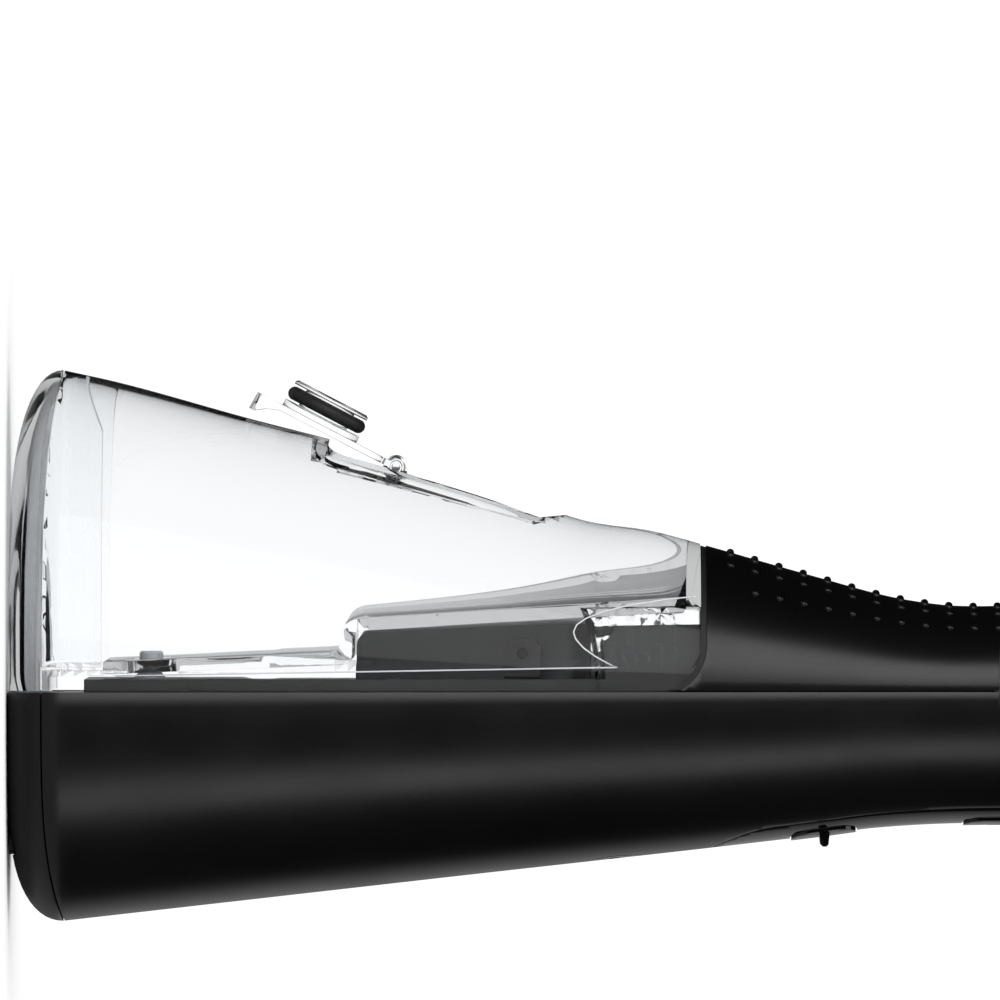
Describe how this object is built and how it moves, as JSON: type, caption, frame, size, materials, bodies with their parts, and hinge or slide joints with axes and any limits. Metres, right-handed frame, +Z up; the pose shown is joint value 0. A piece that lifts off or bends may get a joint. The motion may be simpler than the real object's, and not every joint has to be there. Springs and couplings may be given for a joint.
{
  "type": "cordless water flosser",
  "caption": "Cordless water flosser: tapered black battery handle with a clear rear tank and hinged filling door, front buttons, side release key, turning collar and slender jet tip.",
  "frame": {"origin": "middle of the outline's plan, on the floor under the base", "axes": "+Z up through the handle to the tip, -Y to the front with the buttons, +Y to the rear with the tank"},
  "size_m": [0.0698, 0.102, 0.297],
  "materials": {
    "black_satin": "satin",
    "rubber": "matte",
    "black_gloss": "gloss",
    "clear_plastic": "clear gloss",
    "lamp": "satin",
    "brass": "machined",
    "steel": "plated",
    "grey_plastic": "satin",
    "white_plastic": "satin",
    "cell_wrap": "film wrapped",
    "board": "solder mask",
    "blue_plastic": "gloss"
  },
  "bodies": {
    "handle": {"front_housing": "black_satin", "base_cap": "black_satin", "front_foot": "rubber", "rear_housing": "black_satin", "control_panel": "black_gloss", "indicator_lens": "clear_plastic", "indicator_lamp": "lamp", "charge_port": "black_gloss", "charge_contact_left": "brass", "charge_contact_right": "brass", "charge_magnet": "steel", "deck": "black_satin", "tank_clip_left": "black_gloss", "tank_clip_right": "black_gloss", "motor": "steel", "motor_mount": "grey_plastic", "crank_axle": "steel", "pump_cylinder": "grey_plastic", "pump_head": "grey_plastic", "inlet_valve": "rubber", "outlet_valve": "rubber", "inlet_nipple": "grey_plastic", "inlet_o_ring": "rubber", "intake_tube": "clear_plastic", "outlet_tube": "clear_plastic", "cell_left": "cell_wrap", "cell_right": "cell_wrap", "cell_cradle": "grey_plastic", "circuit_board": "board", "pressure_switch": "steel", "power_switch": "steel", "tip_socket": "grey_plastic", "knob_o_ring": "rubber", "eject_spring": "steel", "deck_screw_1": "steel", "deck_screw_2": "steel", "deck_screw_3": "steel", "deck_screw_4": "steel"},
    "tank": {"tank_shell": "clear_plastic", "tank_cap": "clear_plastic", "tank_floor": "clear_plastic", "tank_gasket": "rubber", "door_hinge_pin": "steel"},
    "fill_door": {"fill_door": "clear_plastic", "fill_door_o_ring": "rubber"},
    "power_button": {"power_button": "black_gloss"},
    "pressure_button": {"pressure_button": "black_gloss"},
    "eject_key": {"eject_button": "grey_plastic", "eject_fork": "white_plastic"},
    "knob": {"tip_knob": "black_satin"},
    "tip": {"tip": "clear_plastic", "tip_band": "blue_plastic"},
    "crank": {"crank_gear": "white_plastic"},
    "rotor": {"motor_shaft": "steel", "motor_pinion": "brass"},
    "piston": {"connecting_rod": "white_plastic", "piston": "white_plastic", "piston_seal": "rubber"}
  },
  "joints": [
    {"name": "tank_pull", "type": "slide", "parent": "handle", "child": "tank", "axis": [0, 1, 0], "range_m": [0, 0.04]},
    {"name": "fill_door_hinge", "type": "hinge", "parent": "tank", "child": "fill_door", "pos_m": [0, 0.03305, 0.0716], "axis": [1, 0, 0], "range_deg": [0, 168]},
    {"name": "power_button_press", "type": "slide", "parent": "handle", "child": "power_button", "axis": [0, 1, 0], "range_m": [0, 0.0006], "stiffness_N_per_m": 1200, "springref_m": -0.0005},
    {"name": "pressure_button_press", "type": "slide", "parent": "handle", "child": "pressure_button", "axis": [0, 1, 0], "range_m": [0, 0.0006], "stiffness_N_per_m": 1200, "springref_m": -0.0005},
    {"name": "eject_key_press", "type": "slide", "parent": "handle", "child": "eject_key", "axis": [1, 0, 0], "range_m": [0, 0.0015], "stiffness_N_per_m": 800, "springref_m": -0.001},
    {"name": "knob_turn", "type": "hinge", "parent": "handle", "child": "knob", "pos_m": [0, -0.01215, 0.2136], "axis": [0, 0, 1], "continuous": true},
    {"name": "tip_pull", "type": "slide", "parent": "knob", "child": "tip", "axis": [0, 0, 1], "range_m": [0, 0.03]},
    {"name": "crank_turn", "type": "hinge", "parent": "handle", "child": "crank", "pos_m": [0, -0.00835, 0.09272], "axis": [0, 1, 0], "continuous": true},
    {"name": "rotor_turn", "type": "hinge", "parent": "handle", "child": "rotor", "pos_m": [0, -0.00835, 0.076], "axis": [0, 1, 0], "continuous": true},
    {"name": "piston_stroke", "type": "slide", "parent": "handle", "child": "piston", "axis": [0, 0, 1], "range_m": [-0.0014, 0.0014]}
  ],
  "couplings": [
    {"joint": "rotor_turn", "follows": "crank_turn", "ratio": -2.8}
  ]
}
